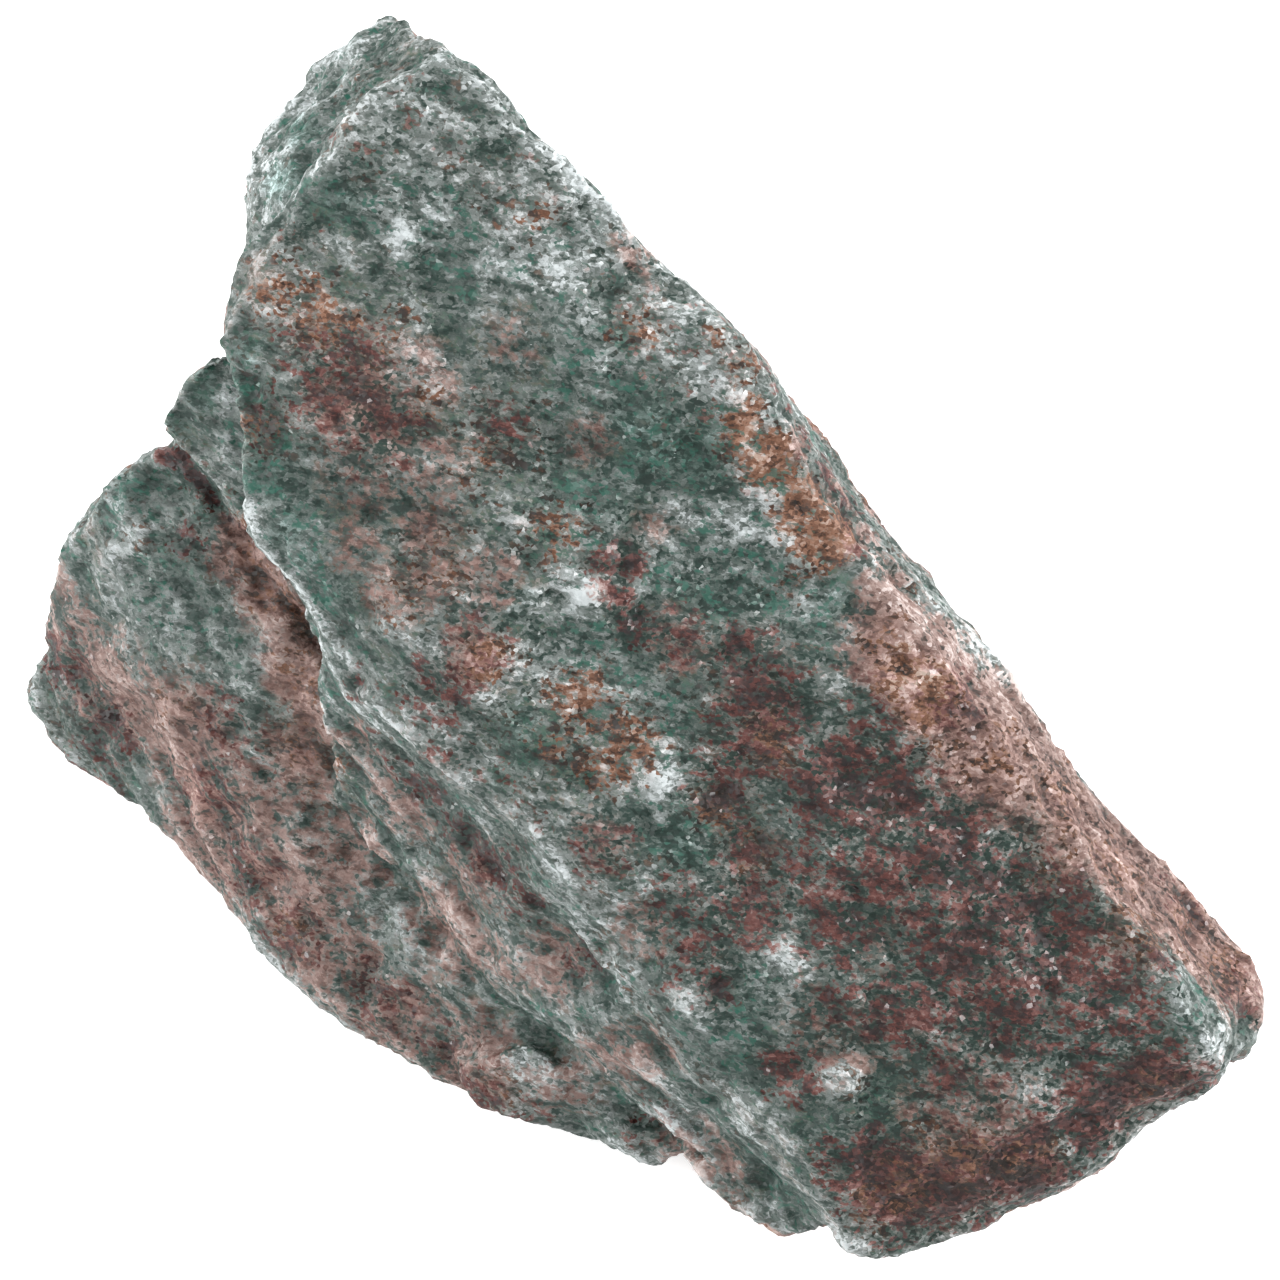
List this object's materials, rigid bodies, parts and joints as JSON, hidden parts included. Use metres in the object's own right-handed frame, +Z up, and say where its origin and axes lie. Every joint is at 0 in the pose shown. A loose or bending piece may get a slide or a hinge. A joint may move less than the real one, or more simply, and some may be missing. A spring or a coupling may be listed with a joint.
{
  "type": "fuchsite specimen",
  "caption": "Rough broken chunk of green mica quartzite, a wedge from a high blunt end to a thin toe, with slabs and ledges along one side, lying on its flat underside.",
  "frame": {"origin": "centre of the bounding box at the flat underside, on the surface that the stone lies on", "axes": "+X along the stone's length from the high blunt end to the thin toe, +Z up, -Y towards the stepped side with the ledges"},
  "size_m": [0.0878, 0.05, 0.0464],
  "materials": {
    "stone": "rough broken stone, grainy, grey-green with dark green mica, white quartz and maroon and rust stains"
  },
  "bodies": {
    "root": {"fuchsite_stone": "stone"}
  },
  "joints": []
}
